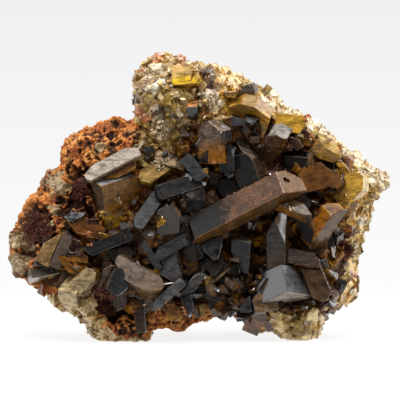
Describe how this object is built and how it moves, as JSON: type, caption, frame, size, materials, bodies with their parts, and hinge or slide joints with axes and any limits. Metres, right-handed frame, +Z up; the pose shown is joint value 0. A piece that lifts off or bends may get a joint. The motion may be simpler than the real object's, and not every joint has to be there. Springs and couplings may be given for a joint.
{
  "type": "barite cluster",
  "caption": "Barite specimen: see-through smoky and amber prisms grown in the hollow of a porous limonite matrix with a pale barite rim, standing upright on two flat feet.",
  "frame": {"origin": "middle of the bounding box at the level of the two flat feet", "axes": "+Z up, +X to the right of the front view, -Y out of the crystal-lined front"},
  "size_m": [0.0952, 0.0418, 0.0711],
  "materials": {
    "limonite": "porous, rough, earthy",
    "massive_barite": "translucent, sugary with small cleavage faces",
    "grey_barite": "see-through, glassy faces",
    "dark_barite": "see-through smoky brown, glassy faces",
    "brown_barite": "see-through, faces partly coated with rust",
    "amber_barite": "see-through honey amber, glassy faces",
    "pale_barite": "see-through, milky, finely cracked"
  },
  "bodies": {
    "root": {"limonite_matrix": "limonite", "crown_barite": "massive_barite", "top_barite": "massive_barite", "upper_rim_barite": "massive_barite", "right_rim_barite": "massive_barite", "right_base_barite": "massive_barite", "left_fringe_barite": "massive_barite", "lower_right_crystal": "grey_barite", "diagonal_blade": "grey_barite", "bent_blade": "grey_barite", "left_grey_blade": "grey_barite", "standing_prism": "grey_barite", "centre_blade": "grey_barite", "grey_leaf": "grey_barite", "grey_triangle": "grey_barite", "grey_pair": "grey_barite", "grey_bar": "grey_barite", "grey_shoulder": "grey_barite", "grey_left_crystal": "grey_barite", "dark_triangle": "dark_barite", "long_charcoal_prism": "dark_barite", "spear_crystal": "dark_barite", "charcoal_prism": "dark_barite", "slate_prism": "dark_barite", "slate_plate": "dark_barite", "hanging_prism": "dark_barite", "tall_dark_prism": "dark_barite", "dark_block": "dark_barite", "dark_wedge": "dark_barite", "dark_box": "dark_barite", "crown_box": "dark_barite", "shadow_crystal": "dark_barite", "hanging_post": "dark_barite", "great_prism": "brown_barite", "bright_blade": "brown_barite", "white_topped_prism": "brown_barite", "window_crystal": "brown_barite", "taupe_prism": "brown_barite", "brown_mass": "brown_barite", "brown_slab": "brown_barite", "brown_standing_crystal": "brown_barite", "brown_left_face": "brown_barite", "amber_block": "amber_barite", "amber_prism": "amber_barite", "brown_top_prism": "amber_barite", "golden_crystal": "amber_barite", "gold_plate": "amber_barite", "orange_slab": "amber_barite", "olive_crystal": "amber_barite", "ochre_wedge": "amber_barite", "ochre_facet": "amber_barite", "ochre_knob": "amber_barite", "ochre_left_crystal": "amber_barite", "gold_facet": "amber_barite", "split_gold_crystal": "amber_barite", "amber_eye": "amber_barite", "rose_brown_crystal": "pale_barite", "pale_cube": "pale_barite", "pale_blade": "pale_barite", "left_box_crystal": "pale_barite"}
  },
  "joints": []
}
